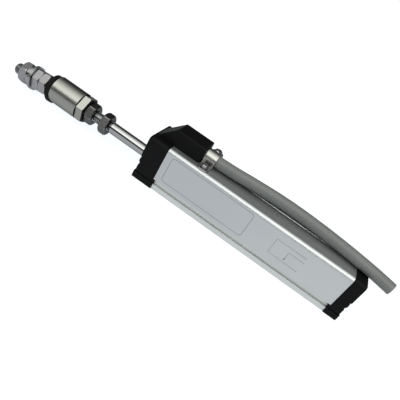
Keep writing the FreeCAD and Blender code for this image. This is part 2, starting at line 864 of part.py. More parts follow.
def make_carriage():
    """Sliding block that rides on the profile's rails, with the clip that holds the rod's neck."""
    gap = d.slide_clearance
    body = new_body("carriage", x=carriage_front)
    sketch = new_sketch(body, "YZ_Plane")
    outline(sketch, mirrored([
        (lower_y - gap, d.floor_thick + gap),
        (lower_y - gap, rail_bottom - gap),
        (rail_y - gap, rail_bottom - gap),
        (rail_y - gap, rail_top + gap),
        (upper_y - gap, rail_top + gap),
        (upper_y - gap, carriage_top),
    ]))
    pad(body, sketch, d.carriage_length)
    bore = new_sketch(body, "YZ_Plane")
    ring(bore, 0, d.rod_height, rod_radius + d.part_clearance)
    pocket(body, bore, d.rod_grip + d.part_clearance, back=True)
    slot = new_sketch(body, "XZ_Plane")
    clip_low = d.floor_thick + gap
    clip_high = d.rod_height + d.rod_neck / 2 + d.clip_bridge
    play = d.part_clearance
    box_outline(slot, d.clip_setback - play, clip_low, d.clip_setback + d.clip_thick + play, clip_high + play)
    pocket(body, slot, d.clip_width + 2 * play, side="Symmetric")

    clip = new_body("rod_clip", x=carriage_front + d.clip_setback)
    fork = new_sketch(clip, "YZ_Plane")
    jaw = d.rod_neck / 2 + play
    foot = clip_low + d.clip_inset
    outline(fork, [
        (-d.clip_width / 2, foot),
        (-jaw, foot),
        corner(-jaw, d.rod_height, (0, d.rod_height), True),
        corner(jaw, d.rod_height, loose="x"),
        (jaw, foot),
        (d.clip_width / 2, foot),
        (d.clip_width / 2, clip_high),
        (-d.clip_width / 2, clip_high),
    ])
    pad(clip, fork, d.clip_thick)


def make_wipers():
    """Two sprung contacts on the carriage that reach up to the tracks."""
    strip = d.wiper_strip
    base = carriage_top
    tip = board_z - d.track_thick - d.wiper_gap
    start = 0.2 * d.carriage_length
    knee = start + 0.4 * d.wiper_length
    end = start + d.wiper_length
    bodies = []
    for name, side in (("near", -1), ("far", 1)):
        body = new_body(f"wiper_{name}", x=carriage_front, y=side * d.track_spacing / 2, node=False)
        sketch = new_sketch(body, "XZ_Plane")
        outline(sketch, [
            (start, base),
            (knee, base),
            (end, tip - strip),
            (end, tip),
            (knee, base + strip),
            (start, base + strip),
        ])
        pad(body, sketch, d.wiper_width, side="Symmetric")
        bodies.append(body)
    group("wiper_contacts", bodies)


# Places along the rod, from the front cap outwards.
rod_nut_x = front_end - d.front_cap_length - d.rod_exposed
coupling_nut_x = rod_nut_x - d.nut_height - d.thread_gap
hex_end_x = coupling_nut_x - d.nut_height
sleeve_x = hex_end_x - d.hex_end_length - d.sleeve_gap
ball_x = sleeve_x - sleeve_rear
collar_x = ball_x - collar_distance
stud_nut_x = collar_x - d.collar_length
washer_x = stud_nut_x - d.nut_height
spring_washer_x = washer_x - d.washer_thick
end_nut_x = spring_washer_x - d.spring_washer_thick
stud_end_x = end_nut_x - d.nut_height - d.stud_tip


def make_rod():
    """Stainless rod: thread outside, necked for the carriage's clip inside."""
    outer_end = sleeve_x - d.spigot_length + d.thread_setback
    inner_end = carriage_front + d.rod_grip
    thread_end = rod_nut_x + d.thread_run_out
    clip = carriage_front + d.clip_setback
    play = d.part_clearance
    thread = d.thread_diameter / 2
    bevel = 0.15 * d.thread_diameter
    turned("pull_rod", [
        (outer_end, 0),
        (outer_end, thread - bevel),
        (outer_end + bevel, thread),
        (thread_end, thread),
        (thread_end, rod_radius),
        (clip - play, rod_radius),
        (clip - play, d.rod_neck / 2),
        (clip + d.clip_thick + play, d.rod_neck / 2),
        (clip + d.clip_thick + play, rod_radius),
        (inner_end, rod_radius),
        (inner_end, 0),
    ], 0)


def on_stud(x, degrees=0):
    """Return a place on the drooping stud, x being where the level stud would have it, and a turn about its axis."""
    droop = math.radians(STUD_DROOP)
    reach = x - ball_x
    return {"x": ball_x + reach * math.cos(droop), "z": d.rod_height + reach * math.sin(droop),
            "turn": about("y", -STUD_DROOP) * about("x", degrees)}


def on_rod(x, degrees=0):
    """Return a place on the rod and a turn about its axis."""
    return {"x": x, "z": d.rod_height, "turn": about("x", degrees)}


def make_nut(label, place):
    """Low hexagon nut with its right face at a place on the rod or the stud."""
    body = new_body(label, **place)
    sketch = new_sketch(body, "YZ_Plane")
    outline(sketch, hexagon_corners(d.nut_flats))
    ring(sketch, 0, 0, nut_bore)
    pad(body, sketch, d.nut_height, back=True)
    bevel_hexagon(body, d.nut_flats, as_size(0), -1)
    bevel_hexagon(body, d.nut_flats, -d.nut_height, 1)


def make_coupling():
    """Ball coupling: hexagon end, domed sleeve, two seats, disc springs and the ball stud."""
    gap = d.part_clearance
    body = new_body("coupling_hex_end", **on_rod(sleeve_x, HEX_END_TURN))
    plug = new_sketch(body, "XZ_Plane")
    waist = sleeve_outer - d.sleeve_gap_depth
    spigot = sleeve_inner - gap
    outline(plug, [
        (-d.spigot_length, nut_bore),
        (d.sleeve_gap, nut_bore),
        (d.sleeve_gap, waist),
        (0, waist),
        (0, spigot),
        (-d.spigot_length, spigot),
    ])
    turn_up(body, plug)
    flats = new_sketch(body, "YZ_Plane", d.sleeve_gap)
    outline(flats, hexagon_corners(d.hex_end_flats))
    ring(flats, 0, 0, nut_bore)
    pad(body, flats, d.hex_end_length)
    bevel_hexagon(body, d.hex_end_flats, d.sleeve_gap + d.hex_end_length, -1)

    mouth_rim = neck + d.mouth_rim_play
    turned("coupling_sleeve", [
        (sleeve_rear, sleeve_inner),
        (sleeve_rear, sleeve_outer),
        corner(-leg(dome_radius, sleeve_outer), sleeve_outer, (0, 0)),
        corner(-leg(dome_radius, mouth_rim), mouth_rim, loose="x"),
        (-mouth_start, neck + d.mouth_play),
        (-mouth_start, sleeve_inner),
    ], ball_x)

    split_y = leg(hollow, d.seat_split)
    turned("front_ball_seat", [
        (-d.seat_split, seat_outer),
        (-seat_front, seat_outer),
        (-seat_front, throat + d.throat_flare),
        corner(-leg(hollow, throat), throat, (0, 0), True),
        corner(-d.seat_split, split_y, loose="y"),
    ], ball_x)
    turned("rear_ball_seat", [
        corner(d.seat_split, split_y, (0, 0), True),
        corner(hollow, 0, loose="x"),
        (seat_back, 0),
        (seat_back, seat_outer),
        (d.seat_split, seat_outer),
    ], ball_x)

    disc_in = d.disc_bore / 2
    disc_out = sleeve_inner - 2 * gap
    discs = []
    for name, start, way in (("front", seat_back + gap, 1), ("rear", spigot_front - gap, -1)):
        discs.append(turned(f"disc_{name}", [
            (start, disc_in),
            (start + way * d.disc_thick, disc_in),
            (start + way * disc_height, disc_out),
            (start + way * d.disc_cone, disc_out),
        ], ball_x, node=False))
    group("disc_springs", discs)

    ball = d.ball_diameter / 2
    thread = d.thread_diameter / 2
    tip_radius = d.stud_tip_diameter / 2
    thread_end = end_nut_x - d.nut_height - ball_x
    tip = stud_end_x - ball_x
    stud = turned("ball_stud", [
        corner(ball, 0, (0, 0)),
        corner(-leg(ball, neck), neck, loose="x"),
        (-collar_distance, neck),
        (-collar_distance, thread),
        (thread_end, thread),
        (thread_end, tip_radius),
        (tip + d.stud_chamfer, tip_radius),
        (tip, tip_radius - d.stud_chamfer),
        (tip, 0),
    ], **on_stud(ball_x, STUD_TURN))
    collar = new_sketch(stud, "YZ_Plane", -collar_distance)
    outline(collar, hexagon_corners(d.nut_flats))
    pad(stud, collar, d.collar_length, back=True)
    bevel_hexagon(stud, d.nut_flats, -collar_distance - d.collar_length, 1)

    boot_hollow = dome_radius + d.boot_clearance
    boot = d.boot_outer / 2
    boot_rim = sleeve_outer + d.boot_rim_step
    rim_start = -leg(boot_hollow, boot_rim)
    neck_hole = neck + gap
    turned("dust_boot", [
        (gap - collar_distance, neck_hole),
        corner(-leg(boot_hollow, neck_hole), neck_hole, (0, 0), True),
        corner(rim_start, boot_rim, loose="x"),
        (rim_start - d.boot_rim_length, boot_rim),
        (gap - collar_distance, boot),
    ], **on_stud(ball_x))


def make_washers():
    """Flat washer and split spring washer on the stud."""
    rim = d.washer_outer / 2
    turned("stud_washer", [(0, nut_bore), (0, rim), (-d.washer_thick, rim), (-d.washer_thick, nut_bore)],
           **on_stud(washer_x))
    outer = d.spring_washer_outer / 2
    body = new_body("stud_spring_washer", **on_stud(spring_washer_x, -30))
    sketch = new_sketch(body, "YZ_Plane")
    ring(sketch, 0, 0, outer)
    ring(sketch, 0, 0, nut_bore)
    pad(body, sketch, d.spring_washer_thick, back=True)
    slit = new_sketch(body, "XZ_Plane")
    half = d.spring_washer_slit / 2
    slant = d.spring_washer_thick / 4
    outline(slit, [
        (0, slant - half),
        (0, slant + half),
        (-d.spring_washer_thick, half - slant),
        (-d.spring_washer_thick, -half - slant),
    ])
    pocket(body, slit, outer + 1, back=True)


def make_strap():
    """Bent strap over the cable: one ear on the profile, the other on the head's ledge."""
    body = new_body("cable_strap", x=front_end)
    sketch = new_sketch(body, "YZ_Plane", strap_start)
    top = d.body_height
    thick = d.strap_thick
    axis = (0, cable_z)
    far_top = far_seat + thick
    outline(sketch, [
        (-strap_reach, top),
        (-strap_inner, top),
        corner(-strap_inner, cable_z, axis, True),
        corner(leg(strap_inner, far_seat - cable_z), far_seat, loose="x"),
        (strap_reach, far_seat),
        (strap_reach, far_top),
        corner(leg(strap_outer, far_top - cable_z), far_top, axis),
        corner(-strap_outer, cable_z, loose="x"),
        (-strap_outer, top + thick),
        (-strap_reach, top + thick),
    ])
    pad(body, sketch, d.strap_width)
    round_edges(body, d.strap_corner, lambda edge: any(
        lies_at(edge, x=x, y=side * strap_reach)
        for side in (-1, 1) for x in (strap_start, strap_start + d.strap_width)))
    holes = new_sketch(body, "XY_Plane", far_top + strap_outer)
    ring(holes, strap_x, near_screw_y, strap_screw_hole)
    ring(holes, strap_x, far_screw_y, strap_screw_hole)
    pocket(body, holes)

    shank = d.strap_screw_shank / 2
    head = d.strap_screw_head / 2
    tall = d.strap_screw_head_height
    screws = []
    for name, y, seat in (("near", near_screw_y, top + thick), ("far", far_screw_y, far_top)):
        screw = new_body(f"strap_screw_{name}", x=front_end + strap_x, y=y, z=seat, node=False)
        shaft = new_sketch(screw, "XY_Plane", -thick - d.strap_screw_grip)
        ring(shaft, 0, 0, shank)
        pad(screw, shaft, thick + d.strap_screw_grip)
        pan = new_sketch(screw, "XY_Plane")
        ring(pan, 0, 0, head)
        pad(screw, pan, tall)
        round_edges(screw, 0.4 * tall, lambda edge: lies_at(edge, z=tall))
        screws.append(screw)
    group("strap_screws", screws)


def make_cable_seal():
    """Arched rubber seal round the cable in the head's tunnel."""
    body = new_body("cable_seal", x=front_end)
    sketch = new_sketch(body, "YZ_Plane", d.head_length)
    inner = cable_radius + d.part_clearance
    outer = cable_radius + d.cable_seal_thick
    top = d.body_height
    axis = (0, cable_z)
    outline(sketch, [
        (-outer, top),
        (-inner, top),
        corner(-inner, cable_z, axis, True),
        corner(inner, cable_z, loose="x"),
        (inner, top),
        (outer, top),
        corner(outer, cable_z, axis),
        corner(-outer, cable_z, loose="x"),
    ])
    pad(body, sketch, d.cable_seal_length, back=True)


def make_cable():
    """Grey cable along its route: straight runs with the largest tangent arcs that they allow."""
    shift = FreeCAD.Vector(front_end.value + cable_start.value, 0, cable_z.value)
    points = [FreeCAD.Vector(*point) + shift for point in CABLE_ROUTE]
    edges = []
    length = 0.0
    start = points[0]
    for before, point, after in zip(points, points[1:], points[2:]):
        into = point - before
        out = after - point
        turn = into.getAngle(out)
        trim = ARC_SHARE * min(into.Length, out.Length)
        radius = trim / math.tan(turn / 2)
        print(f"cable arc radius {radius:.0f} mm, turn {math.degrees(turn):.1f} degrees")
        begin = point - FreeCAD.Vector(into).normalize() * trim
        finish = point + FreeCAD.Vector(out).normalize() * trim
        towards = (begin + finish) * 0.5 - point
        reach = radius / math.cos(turn / 2) - radius
        middle = point + towards.normalize() * reach
        edges.append(Part.LineSegment(start, begin).toShape())
        edges.append(Part.Arc(begin, middle, finish).toShape())
        length += (begin - start).Length + radius * turn
        start = finish
    edges.append(Part.LineSegment(start, points[-1]).toShape())
    length += (points[-1] - start).Length
    path = Part.Wire(edges)
    circle = Part.Circle(points[0], points[1] - points[0], cable_radius.value)
    section = Part.Wire([circle.toShape()])
    solid = path.makePipeShell([section], True, True)
    wanted = math.pi * cable_radius.value ** 2 * length
    print(f"cable length {length:.1f} mm, volume {solid.Volume:.1f} of {wanted:.1f} cubic mm")
    cable = doc.addObject("Part::Feature", "cable")
    cable.Label = "cable"
    cable.Shape = solid
    nodes.append(cable)


def write_parts():
    """Check every object and write each node."""
    doc.recompute()
    for item in doc.Objects:
        if {"Invalid", "Error"} & set(item.State):
            raise RuntimeError(f"{item.Label} failed: {item.State}")
    os.makedirs("parts", exist_ok=True)
    for node in nodes:
        shape = node.Shape
        if shape.isNull() or not shape.isValid() or not shape.Solids:
            raise RuntimeError(f"{node.Label} has no valid solid")
        shape.exportStep(f"parts/{node.Label}.step")
    travel_out = carriage_front.value - d.stop_gap.value - front_stop.value
    print(f"{len(nodes)} nodes written; the rod goes {d.travel_in.value:.1f} mm in, {travel_out:.1f} mm out")


make_profile()
make_front_cap()
make_rear_cap()
make_gasket("front_gasket", front_end)
make_gasket("rear_gasket", rear_end, about("z", 180))
make_cap_screws("front_cap_screws", d.front_cap_length, front_end, -1)
make_cap_screws("rear_cap_screws", d.rear_cap_length, rear_end, 1)
make_rod_guide()
make_measuring_element()
make_wires()
make_carriage()
make_wipers()
make_rod()
make_nut("rod_lock_nut", on_rod(rod_nut_x, ROD_NUT_TURN))
make_nut("coupling_lock_nut", on_rod(coupling_nut_x, COUPLING_NUT_TURN))
make_coupling()
make_nut("stud_inner_nut", on_stud(stud_nut_x, STUD_TURN))
make_washers()
make_nut("stud_outer_nut", on_stud(end_nut_x, END_NUT_TURN))
make_strap()
make_cable_seal()
make_cable()
write_parts()
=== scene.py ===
# %% [markdown]
# # A pull-rod displacement transducer
#
# The object is a slim industrial sensor: an extruded aluminium housing with two black end caps, a polished rod with
# a ball coupling at its end, and a grey cable that lies along the top. The solids come from the CAD model. This
# lesson dresses them: it rolls threads, cuts screw recesses, lays the cable and gives every surface its finish.

import math

import bpy
from mathutils import Matrix, Vector


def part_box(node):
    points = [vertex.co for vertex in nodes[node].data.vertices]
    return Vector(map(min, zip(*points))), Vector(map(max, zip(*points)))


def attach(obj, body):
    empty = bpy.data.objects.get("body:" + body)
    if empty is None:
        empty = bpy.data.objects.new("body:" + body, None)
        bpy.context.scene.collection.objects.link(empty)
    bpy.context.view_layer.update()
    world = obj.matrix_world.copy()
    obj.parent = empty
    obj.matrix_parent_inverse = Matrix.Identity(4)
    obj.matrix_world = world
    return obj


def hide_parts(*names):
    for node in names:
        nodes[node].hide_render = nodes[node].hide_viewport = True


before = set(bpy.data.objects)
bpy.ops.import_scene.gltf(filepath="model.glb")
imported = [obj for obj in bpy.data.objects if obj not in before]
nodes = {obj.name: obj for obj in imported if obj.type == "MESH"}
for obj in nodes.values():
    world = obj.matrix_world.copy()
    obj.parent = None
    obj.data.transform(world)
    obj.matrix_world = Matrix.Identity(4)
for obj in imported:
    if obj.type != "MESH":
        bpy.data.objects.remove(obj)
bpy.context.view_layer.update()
MM = 0.001

# %% [markdown]
# ## The camera
#
# The picture looks down on the sensor from its marked side, with the camera rolled so that the sensor runs across
# the frame from corner to corner. A camera is placed by three directions: where it looks, what is to its right and
# what is up. Working them out from a turn, a drop and a roll keeps each of the three easy to change.

# %% Camera from a turn, a drop and a roll
IMAGE_SIZE = 400
FOCAL_PIXELS = 447.4
CAMERA_TURN = math.radians(-6.0)
CAMERA_DROP = math.radians(31.2)
CAMERA_ROLL = math.radians(32.2)
CAMERA_TARGET = Vector((-27.08, 0.0, 4.28)) * MM
CAMERA_DISTANCE = 219.96 * MM


def make_camera():
    """Look at the target from the marked side."""
    forward = Vector((math.sin(CAMERA_TURN) * math.cos(CAMERA_DROP),
                      math.cos(CAMERA_TURN) * math.cos(CAMERA_DROP),
                      -math.sin(CAMERA_DROP)))
    level = Vector((math.cos(CAMERA_TURN), -math.sin(CAMERA_TURN), 0.0))
    upright = level.cross(forward)
    right = math.cos(CAMERA_ROLL) * level + math.sin(CAMERA_ROLL) * upright
    up = right.cross(forward)
    data = bpy.data.cameras.new("camera")
    data.lens = FOCAL_PIXELS / IMAGE_SIZE * data.sensor_width
    data.clip_start = 0.01
    camera = bpy.data.objects.new("camera", data)
    bpy.context.scene.collection.objects.link(camera)
    turn = Matrix((right, up, -forward)).transposed()
    camera.matrix_world = Matrix.Translation(CAMERA_TARGET - CAMERA_DISTANCE * forward) @ turn.to_4x4()
    bpy.context.scene.camera = camera
    return camera


camera = make_camera()
print("camera at", camera.matrix_world.translation, "lens", camera.data.lens)

# %% [markdown]
# ## Shader maths as Python
#
# A finish is a small tree of nodes. Wiring each Math node by hand is slow to write and hard to read, so one class
# wraps a socket and overloads Python's operators: adding two values adds an Add node. Every other node comes from a
# single method that sets the node up first and then fills its sockets with numbers or links.

# %% A value that does its own wiring
class Value:
    """One output of a node tree; Python's operators on it add Math nodes."""

    def __init__(self, recipe, socket):
        self.recipe = recipe
        self.socket = socket

    def calc(self, operation, first, second=None):
        """Add a Math node."""
        sockets = {0: first} if second is None else {0: first, 1: second}
        return self.recipe.node("ShaderNodeMath", {"operation": operation}, sockets)

    def __add__(self, other):
        return self.calc("ADD", self, other)

    def __radd__(self, other):
        return self.calc("ADD", other, self)

    def __sub__(self, other):
        return self.calc("SUBTRACT", self, other)

    def __rsub__(self, other):
        return self.calc("SUBTRACT", other, self)

    def __mul__(self, other):
        return self.calc("MULTIPLY", self, other)

    def __rmul__(self, other):
        return self.calc("MULTIPLY", other, self)

    def __abs__(self):
        return self.calc("ABSOLUTE", self)


class Recipe:
    """A node tree that is written as expressions."""

    def __init__(self, tree):
        self.tree = tree

    def node(self, kind, settings=None, sockets=None, output=0):
        """Add a node: its settings first, then the values or links of its sockets."""
        made = self.tree.nodes.new(kind)
        for name, setting in (settings or {}).items():
            setattr(made, name, setting)
        for name, value in (sockets or {}).items():
            if isinstance(value, Value):
                self.tree.links.new(value.socket, made.inputs[name])
            else:
                made.inputs[name].default_value = value
        return Value(self, made.outputs[output])

    def place(self):
        """Return the position on the piece, in millimetres."""
        metres = self.node("ShaderNodeTexCoord", output="Object")
        return self.node("ShaderNodeVectorMath", {"operation": "SCALE"}, {0: metres, "Scale": 1 / MM})

    def split(self, vector):
        """Return a vector's three coordinates."""
        parts = self.node("ShaderNodeSeparateXYZ", None, {0: vector})
        outputs = parts.socket.node.outputs
        return [Value(self, outputs[index]) for index in range(3)]

    def noise(self, vector, stretch=(1, 1, 1), detail=3.0):
        """Return soft noise between 0 and 1, stretched by a factor for each axis."""
        point = self.node("ShaderNodeVectorMath", {"operation": "MULTIPLY"}, {0: vector, 1: stretch})
        return self.node("ShaderNodeTexNoise", None, {"Vector": point, "Scale": 1.0, "Detail": detail})

    def ease(self, value, low, high):
        """Return a smooth step from 0 at low to 1 at high."""
        return self.node("ShaderNodeMapRange", {"interpolation_type": "SMOOTHSTEP"},
                         {"Value": value, "From Min": low, "From Max": high})

    def blend(self, factor, first, second):
        """Mix two colours."""
        return self.node("ShaderNodeMix", {"data_type": "RGBA"}, {0: factor, 6: first, 7: second}, output=2)


class Finish(Recipe):
    """A material with a Principled shader."""

    def __init__(self, name, **fixed):
        self.material = bpy.data.materials.new(name)
        self.material.use_nodes = True
        super().__init__(self.material.node_tree)
        self.shader = self.tree.nodes["Principled BSDF"]
        for socket, value in fixed.items():
            self.feed(socket.replace("_", " "), value)

    def feed(self, socket, value):
        """Set or link one of the shader's sockets."""
        if isinstance(value, Value):
            self.tree.links.new(value.socket, self.shader.inputs[socket])
        else:
            self.shader.inputs[socket].default_value = value

    def relief(self, height, depth):
        """Raise the surface by a height between 0 and 1, times depth in millimetres."""
        bump = self.node("ShaderNodeBump", None, {"Height": height, "Distance": depth * MM, "Strength": 1.0})
        self.feed("Normal", bump)


def rgb(red, green, blue):
    """Return a colour socket's value."""
    return (red, green, blue, 1.0)


print("shader helpers ready")

# %% [markdown]
# ## Floor and light
#
# A product shot on a light table: the floor glows, so it is white and the object hardly shades it. One large soft
# box hangs overhead, a little to the camera's side, and the rest of the room is dark. Metal shows what it mirrors,
# so the dark part matters as much as the lamp: the marked side mirrors the table, the rod's bright band is the soft
# box, and the dark line under it is the room between the two. The soft box is painted into the sky, where it can
# have a crisp lower edge and fade out towards the back, and the camera itself sees plain white behind the table.

# %% Light table and soft box
FLOOR_SIZE = 60.0
FLOOR_GAP = 0.02 * MM
TABLE_GLOW = rgb(0.945, 0.97, 1.0)
TABLE_STRENGTH = 0.97
LAMP_BACK = (0.75, -0.75)
LAMP_EDGE = (0.40, 0.53)
LAMP_SIDE = (0.80, 0.50)
LAMP_LIGHT = rgb(3.30, 3.30, 3.14)
ROOM_LIGHT = rgb(0.06, 0.06, 0.058)


def clear_selection():
    """Deselect everything, because operators act on all that is selected."""
    bpy.ops.object.select_all(action="DESELECT")


def make_floor():
    """Lay a glowing white table just under the housing."""
    clear_selection()
    bpy.ops.mesh.primitive_plane_add(size=FLOOR_SIZE, location=(0, 0, -FLOOR_GAP))
    floor = bpy.context.object
    floor.name = "floor"
    table = Finish("light_table", Roughness=0.9, Specular_IOR_Level=0.0, Emission_Color=TABLE_GLOW,
                   Emission_Strength=TABLE_STRENGTH)
    mottle = table.noise(table.place(), (0.02, 0.02, 0.02))
    table.feed("Base Color", table.blend(mottle, rgb(0.10, 0.10, 0.10), rgb(0.12, 0.12, 0.12)))
    floor.data.materials.append(table.material)


def make_sky():
    """Paint a soft box overhead in a dark room."""
    world = bpy.data.worlds.new("studio")
    bpy.context.scene.world = world
    world.use_nodes = True
    sky = Recipe(world.node_tree)
    direction = sky.node("ShaderNodeTexCoord", output="Generated")
    side, back, up = sky.split(direction)
    box = sky.ease(back, *LAMP_BACK) * sky.ease(up, *LAMP_EDGE) * sky.ease(abs(side), *LAMP_SIDE)
    room = sky.blend(box, ROOM_LIGHT, LAMP_LIGHT)
    seen = sky.node("ShaderNodeLightPath", output="Is Camera Ray")
    colour = sky.blend(seen, room, rgb(1.0, 1.0, 1.0))
    shade = world.node_tree.nodes["Background"]
    world.node_tree.links.new(colour.socket, shade.inputs["Color"])
    shade.inputs["Strength"].default_value = 1.0


bpy.context.scene.view_settings.view_transform = "Standard"
make_floor()
make_sky()
print("table and soft box placed")

# %% [markdown]
# ## Finishes
#
# Each surface gets its own recipe. The housing is drawn aluminium with a satin anodised skin, so its noise is
# stretched along the profile. Steel comes in four kinds: the ground rod, the turned coupling, bright plated
# hardware and the two darker lock nuts. Bare metal brightens where the eye grazes it. These dull steels hardly do,
# so a dark edge tint holds that back.

# %% Metal finishes
EDGE_TINT = rgb(0.35, 0.35, 0.35)
# The skin is painted lighter along this run in X, towards the rear: painted light.
LIGHT_DRIFT_RUN = (-60.0, 60.0)
# Below this height the foot is painted lighter: a painted reflection of the light the lower lip catches.
LIT_FOOT_TOP = (6.0, 4.0)
# These two bound the groove's band, which is painted darker: painted shade in the recess.
GROOVE_TOP = (3.2, 2.9)
GROOVE_MOUTH = (10.40, 10.25)
# The nose, the joint and the hex end's rim are painted dark and dull: painted shade in the joint's gap and painted
# dark reflections on the nose and the rim.
NOSE = (-117.75, -118.05)
JOINT_FRONT = (-102.42, -102.36)
JOINT_REAR = (-101.89, -101.93)
HEX_RIM = (-98.35, -98.15)


def satin_aluminium():
    """Drawn and anodised: streaks run along X, the skin varies at random and is painted lighter towards the rear as
    painted light, the foot is painted lighter as a painted reflection and the groove is painted darker as painted
    shade.
    """
    finish = Finish("satin_aluminium", Metallic=1.0)
    place = finish.place()
    streak = finish.noise(place, (0.015, 2.2, 2.2), 4.0)
    cloud = finish.noise(place, (0.05, 0.05, 0.05))
    along, across, height = finish.split(place)
    # Half of this mix is painted light, lighter towards the rear; the cloud and the streaks are random variation.
    light_and_tone = 0.5 * finish.ease(along, *LIGHT_DRIFT_RUN) + 0.3 * cloud + 0.2 * streak
    skin = finish.blend(light_and_tone, rgb(0.405, 0.425, 0.450), rgb(0.525, 0.540, 0.540))
    # Painted reflection: the foot is painted lighter, for the light its lower lip catches.
    skin_with_lit_foot = finish.blend(finish.ease(height, *LIT_FOOT_TOP), skin, rgb(0.545, 0.565, 0.560))
    # Painted shade: the groove's recess is painted darker, where shade falls in it.
    groove_shade = finish.ease(height, *GROOVE_TOP) * finish.ease(abs(across), *GROOVE_MOUTH)
    finish.feed("Base Color", finish.blend(groove_shade, skin_with_lit_foot, rgb(0.47, 0.48, 0.48)))
    finish.feed("Roughness", 0.42 + 0.12 * streak)
    finish.relief(streak, 0.003)
    return finish.material


def ground_steel():
    """The rod: ground bright, with faint rings from the wheel."""
    finish = Finish("ground_steel", Metallic=1.0, Specular_Tint=EDGE_TINT)
    place = finish.place()
    ring = finish.noise(place, (3.0, 0.02, 0.02), 2.0)
    finish.feed("Base Color", finish.blend(ring, rgb(0.272, 0.277, 0.282), rgb(0.312, 0.317, 0.322)))
    finish.feed("Roughness", 0.08 + 0.06 * ring)
    return finish.material


def turned_steel():
    """The coupling: tool marks run round it, and its nose, joint and rim are painted dark and dull, as painted shade
    in the joint's gap and painted dark reflections on the nose and the rim.
    """
    finish = Finish("turned_steel", Specular_IOR_Level=0.12, Specular_Tint=EDGE_TINT)
    place = finish.place()
    along = finish.split(place)[0]
    # Painted shade: the nose, the joint's gap and the hex rim are painted dark and made dull, for the shade and dark
    # reflections there.
    joint = finish.ease(along, *JOINT_FRONT) * finish.ease(along, *JOINT_REAR)
    black_shade = finish.ease(along, *NOSE) + joint + finish.ease(along, *HEX_RIM)
    mark = finish.noise(place, (6.0, 0.05, 0.05), 3.0)
    steel = finish.blend(mark, rgb(0.222, 0.224, 0.211), rgb(0.275, 0.277, 0.262))
    finish.feed("Base Color", finish.blend(black_shade, steel, rgb(0.006, 0.006, 0.006)))
    finish.feed("Metallic", 1.0 - black_shade)
    finish.feed("Roughness", 0.27 + 0.08 * mark + 0.30 * black_shade)
    finish.relief(mark, 0.0015)
    return finish.material


def plated_steel(name, dull, bright, rough):
    """Plated hardware: cloudy, with small scuffs."""
    finish = Finish(name, Metallic=1.0, Specular_Tint=EDGE_TINT)
    place = finish.place()
    cloud = finish.noise(place, (0.35, 0.35, 0.35), 3.0)
    scuff = finish.noise(place, (4.0, 4.0, 1.2), 4.0)
    finish.feed("Base Color", finish.blend(cloud, dull, bright))
    finish.feed("Roughness", rough + 0.10 * scuff)
    finish.relief(scuff, 0.0015)
    return finish.material


aluminium = satin_aluminium()
rod_steel = ground_steel()
coupling_steel = turned_steel()
bright_plate = plated_steel("bright_plate", rgb(0.245, 0.247, 0.256), rgb(0.295, 0.297, 0.306), 0.30)
strap_plate = plated_steel("strap_plate", rgb(0.28, 0.28, 0.27), rgb(0.34, 0.34, 0.33), 0.28)
dark_plate = plated_steel("dark_plate", rgb(0.120, 0.120, 0.123), rgb(0.155, 0.155, 0.158), 0.24)
black_plate = plated_steel("black_plate", rgb(0.012, 0.012, 0.013), rgb(0.03, 0.03, 0.032), 0.30)
spring_plate = plated_steel("spring_plate", rgb(0.36, 0.36, 0.37), rgb(0.46, 0.46, 0.47), 0.22)
bronze = plated_steel("bearing_bronze", rgb(0.42, 0.26, 0.12), rgb(0.56, 0.38, 0.19), 0.24)
brass = plated_steel("terminal_brass", rgb(0.60, 0.44, 0.20), rgb(0.76, 0.60, 0.32), 0.20)
print("metal finishes mixed")

# %% [markdown]
# Plastic and rubber are told apart by their grain and gloss. Both are very dark here, so their shine does most of
# the work: the caps keep a low, even sheen and the rubber has almost none.

# %% Plastic and rubber finishes
def moulded(name, dark, light, rough, grain, gloss=0.5):
    """Moulded plastic or rubber with a fine grain of the given size in millimetres."""
    finish = Finish(name, Specular_IOR_Level=gloss)
    place = finish.place()
    spot = finish.noise(place, (1 / grain,) * 3, 2.0)
    cloud = finish.noise(place, (0.12, 0.12, 0.12))
    finish.feed("Base Color", finish.blend(cloud, dark, light))
    finish.feed("Roughness", rough + 0.1 * spot)
    finish.relief(spot, 0.01)
    return finish.material


cap_plastic = moulded("cap_plastic", rgb(0.0018, 0.0019, 0.0023), rgb(0.0030, 0.0031, 0.0036), 0.54, 0.25, 0.09)
soft_rubber = moulded("soft_rubber", rgb(0.003, 0.003, 0.003), rgb(0.006, 0.006, 0.006), 0.62, 0.4, 0.1)
seat_plastic = moulded("seat_plastic", rgb(0.70, 0.68, 0.62), rgb(0.78, 0.77, 0.72), 0.40, 0.5)
carriage_plastic = moulded("carriage_plastic", rgb(0.05, 0.05, 0.055), rgb(0.08, 0.08, 0.085), 0.45, 0.3)
laminate = moulded("board_laminate", rgb(0.05, 0.12, 0.06), rgb(0.08, 0.17, 0.09), 0.40, 0.3)
track_ink = moulded("track_ink", rgb(0.012, 0.012, 0.012), rgb(0.02, 0.02, 0.02), 0.25, 0.6)
insulation = moulded("wire_insulation", rgb(0.42, 0.06, 0.04), rgb(0.50, 0.09, 0.06), 0.38, 0.5)
jacket = moulded("cable_jacket", rgb(0.113, 0.121, 0.120), rgb(0.139, 0.147, 0.146), 0.42, 0.5, 0.35)
mark_ink = moulded("mark_ink", rgb(0.10, 0.105, 0.12), rgb(0.14, 0.145, 0.16), 0.5, 0.3)
print("plastic and rubber finishes mixed")

# %% [markdown]
# A CAD node keeps its mesh and takes a finish. A list from finish to nodes shows at a glance what is made of what.

